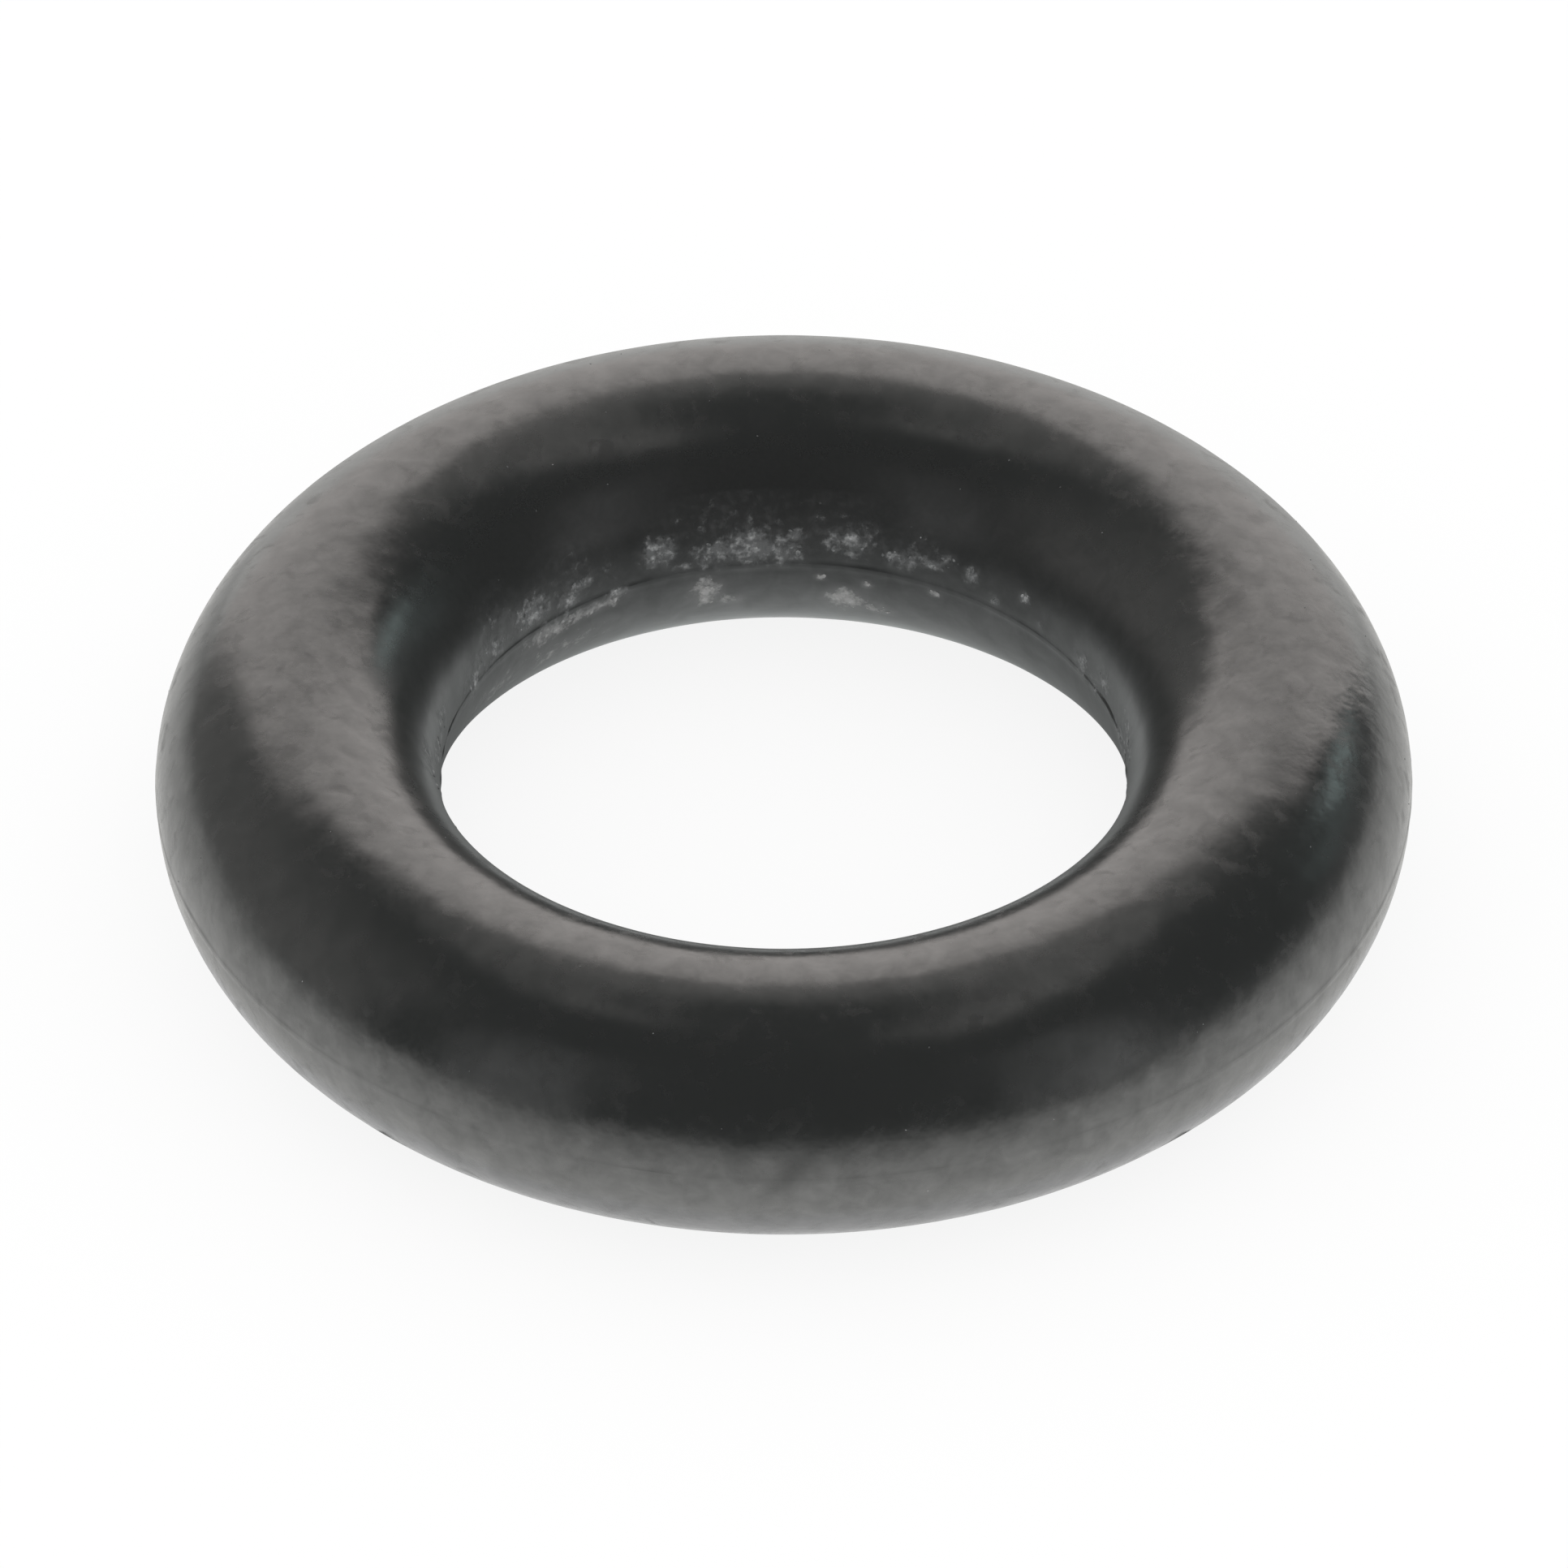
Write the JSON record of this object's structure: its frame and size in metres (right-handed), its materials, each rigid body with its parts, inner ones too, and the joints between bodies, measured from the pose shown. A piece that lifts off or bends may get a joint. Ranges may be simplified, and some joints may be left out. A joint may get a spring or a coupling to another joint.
{
  "type": "oil line gasket",
  "caption": "Moulded black rubber ring of round section with a fine trimmed flash line inside and outside, for sealing the plug-in joint of an oil line.",
  "frame": {"origin": "the ring's centre, on its axis and in the middle plane of its section", "axes": "+Z along the ring's axis, up when the ring lies flat; the ring is the same in every direction round it"},
  "size_m": [0.011, 0.011, 0.0024],
  "materials": {
    "black_rubber": "satin, with a fine moulded grain"
  },
  "bodies": {
    "root": {"seal_ring": "black_rubber"}
  },
  "joints": []
}
